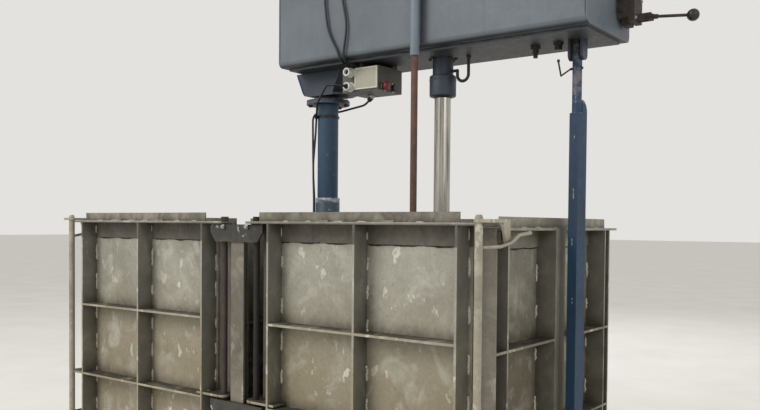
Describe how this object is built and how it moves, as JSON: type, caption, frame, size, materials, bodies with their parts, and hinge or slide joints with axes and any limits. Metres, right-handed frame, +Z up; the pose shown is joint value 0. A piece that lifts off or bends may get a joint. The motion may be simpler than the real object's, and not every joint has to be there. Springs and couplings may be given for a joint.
{
  "type": "recycling baler",
  "caption": "Recycling baler: ribbed galvanised chambers with front doors side by side, and an overhead hydraulic press head carried on a column between them.",
  "frame": {"origin": "centre of the column's base plate, on the floor", "axes": "+X along the front towards the chamber under the press head, +Y from the doors towards the back, +Z up"},
  "size_m": [3.5702, 1.4999, 3.784],
  "materials": {
    "galvanised": "weathered hot-dip zinc, matt",
    "light_zinc": "light weathered zinc, matt",
    "dark_steel": "dark greasy steel",
    "bright_steel": "satin",
    "blue_paint": "worn satin paint",
    "slate_paint": "weathered matt paint",
    "chrome_rod": "polished, oily streaks",
    "rusty_steel": "rusty brown",
    "black_plastic": "gloss",
    "cream_cover": "matt",
    "white_plastic": "matt",
    "red_plastic": "gloss",
    "cable_rubber": "matt"
  },
  "bodies": {
    "frame": {"base_frame": "galvanised", "right_floor": "galvanised", "left_floor": "galvanised", "right_outer_wall": "galvanised", "right_inner_wall": "galvanised", "right_rear_wall": "galvanised", "right_front_frame": "galvanised", "left_outer_wall": "galvanised", "left_inner_wall": "galvanised", "left_rear_wall": "galvanised", "left_front_frame": "galvanised", "hinge_post": "light_zinc", "hinge_brackets": "galvanised", "right_hinge_pin": "dark_steel", "left_hinge_pin": "dark_steel", "column_post": "blue_paint", "column_tube": "blue_paint", "column_bolts": "bright_steel", "flange_bolts": "dark_steel", "head_bracket": "blue_paint", "head_beam": "slate_paint", "beam_end_plates": "slate_paint", "cylinder_barrel": "blue_paint", "cylinder_cap": "blue_paint", "gland_collar": "blue_paint", "guide_sleeve": "blue_paint", "tie_post": "blue_paint", "tie_socket": "blue_paint", "drain_plug": "dark_steel", "return_pipe": "dark_steel", "valve_body": "rusty_steel", "pressure_pipes": "dark_steel", "motor": "slate_paint", "pump": "dark_steel", "filler_cap": "dark_steel", "control_box": "slate_paint", "control_cover": "cream_cover", "cable_glands": "white_plastic", "supply_cable": "cable_rubber", "interlock_cable": "cable_rubber", "motor_cable_a": "cable_rubber", "motor_cable_b": "cable_rubber", "cable_clips": "cable_rubber", "inlet_box": "dark_steel"},
    "ram": {"ram_rod": "chrome_rod", "piston": "bright_steel", "platen": "rusty_steel", "rod_cross_pin": "bright_steel", "guide_rod": "rusty_steel"},
    "right_door_leaf": {"right_door": "galvanised"},
    "left_door_leaf": {"left_door": "galvanised"},
    "right_lock": {"right_lock_rod": "light_zinc", "right_lock_handle": "light_zinc"},
    "left_lock": {"left_lock_rod": "light_zinc", "left_lock_handle": "light_zinc"},
    "valve_lever_arm": {"valve_lever": "dark_steel", "lever_knob": "black_plastic"},
    "start": {"start_button": "black_plastic"},
    "stop": {"stop_button": "red_plastic"},
    "tie_pin_bar": {"tie_pin": "dark_steel"}
  },
  "joints": [
    {"name": "ram_slide", "type": "slide", "parent": "frame", "child": "ram", "axis": [0, 0, 1], "range_m": [-0.56, 0.56]},
    {"name": "right_door_hinge", "type": "hinge", "parent": "frame", "child": "right_door_leaf", "pos_m": [0.119, -0.692, 0.8], "axis": [0, 0, -1], "range_deg": [0, 87]},
    {"name": "left_door_hinge", "type": "hinge", "parent": "frame", "child": "left_door_leaf", "pos_m": [-0.119, -0.692, 0.8], "axis": [0, 0, 1], "range_deg": [0, 87]},
    {"name": "right_lock_turn", "type": "hinge", "parent": "right_door_leaf", "child": "right_lock", "pos_m": [1.443, -0.745, 0.8], "axis": [0, 0, -1], "range_deg": [-6, 85]},
    {"name": "left_lock_turn", "type": "hinge", "parent": "left_door_leaf", "child": "left_lock", "pos_m": [-1.443, -0.745, 0.8], "axis": [0, 0, 1], "range_deg": [-6, 85]},
    {"name": "valve_lever_swing", "type": "hinge", "parent": "frame", "child": "valve_lever_arm", "pos_m": [1.825, 0.15, 2.563], "axis": [0, 1, 0], "range_deg": [-18, 18], "stiffness_Nm_per_rad": 2},
    {"name": "start_press", "type": "slide", "parent": "frame", "child": "start", "axis": [-1, 0, 0], "range_m": [0, 0.005], "stiffness_N_per_m": 300},
    {"name": "stop_press", "type": "slide", "parent": "frame", "child": "stop", "axis": [-1, 0, 0], "range_m": [0, 0.005], "stiffness_N_per_m": 300},
    {"name": "tie_pin_slide", "type": "slide", "parent": "frame", "child": "tie_pin_bar", "axis": [-1, 0, 0], "range_m": [0, 0.062]}
  ]
}
